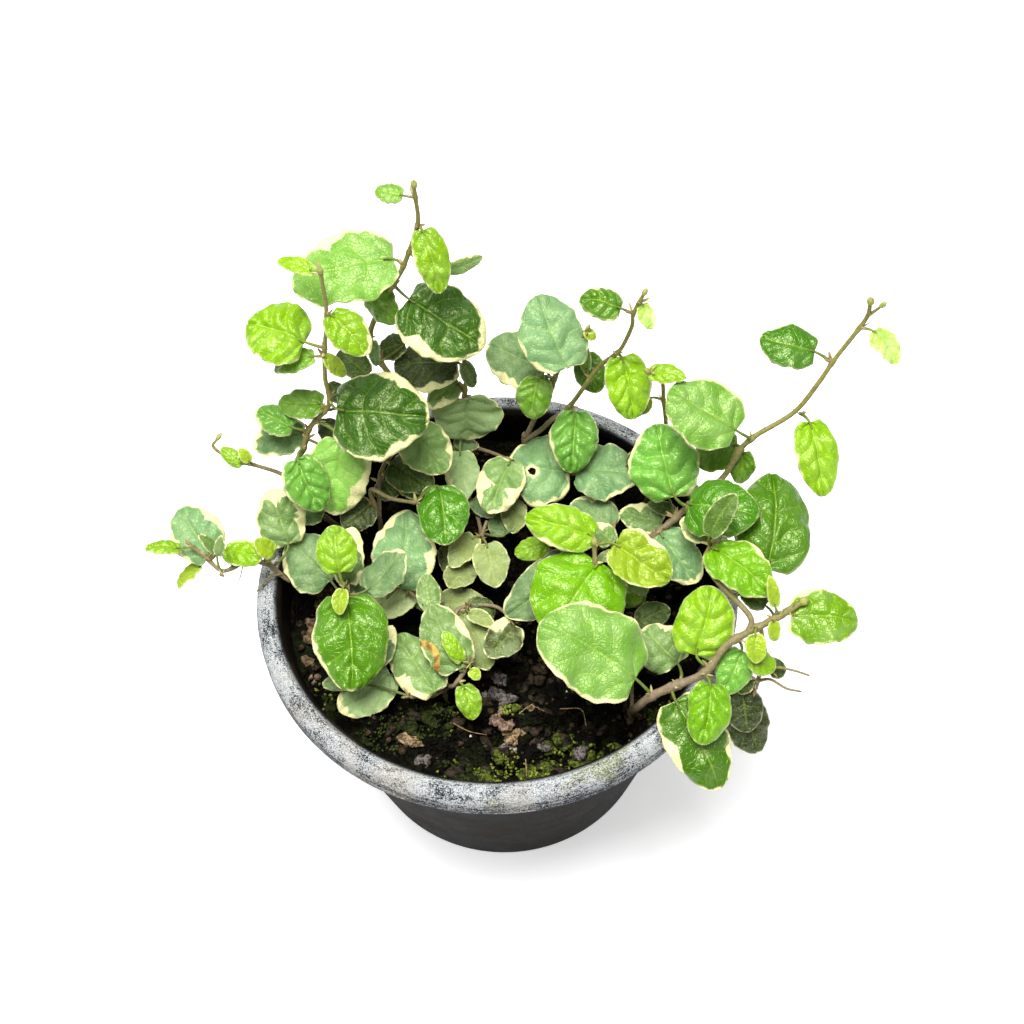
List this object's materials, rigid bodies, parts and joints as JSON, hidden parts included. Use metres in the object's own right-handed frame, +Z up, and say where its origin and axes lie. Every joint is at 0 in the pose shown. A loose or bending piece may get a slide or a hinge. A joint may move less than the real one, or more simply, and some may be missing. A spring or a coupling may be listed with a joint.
{
  "type": "potted variegated creeping fig",
  "caption": "Creeping fig with cream-edged green leaves on thin trailing shoots, growing from dark soil in a round tapered nursery pot with a rolled rim.",
  "frame": {"origin": "middle of the pot's flat underside, on the surface that the pot stands on", "axes": "+Z up; -Y towards the viewer of the picture; +X to the viewer's right, where the longest shoot leans"},
  "size_m": [0.1786, 0.12, 0.163],
  "materials": {
    "pot_plastic": "worn dark grey plastic, satin, with a chalky white crust on the rim",
    "soil": "damp dark potting mix with bark, perlite and moss",
    "foliage": "leathery green leaves with cream edges, glossy when young, on brown stems"
  },
  "bodies": {
    "root": {"pot": "pot_plastic", "soil": "soil", "shoot_back_left": "foliage", "shoot_left": "foliage", "shoot_far_left": "foliage", "tuft_left": "foliage", "tuft_middle": "foliage", "shoot_back_middle": "foliage", "shoot_back_right": "foliage", "shoot_right_thin": "foliage", "shoot_long_right": "foliage", "tuft_centre_right": "foliage", "branch_front_right": "foliage", "runner_front": "foliage"}
  },
  "joints": []
}
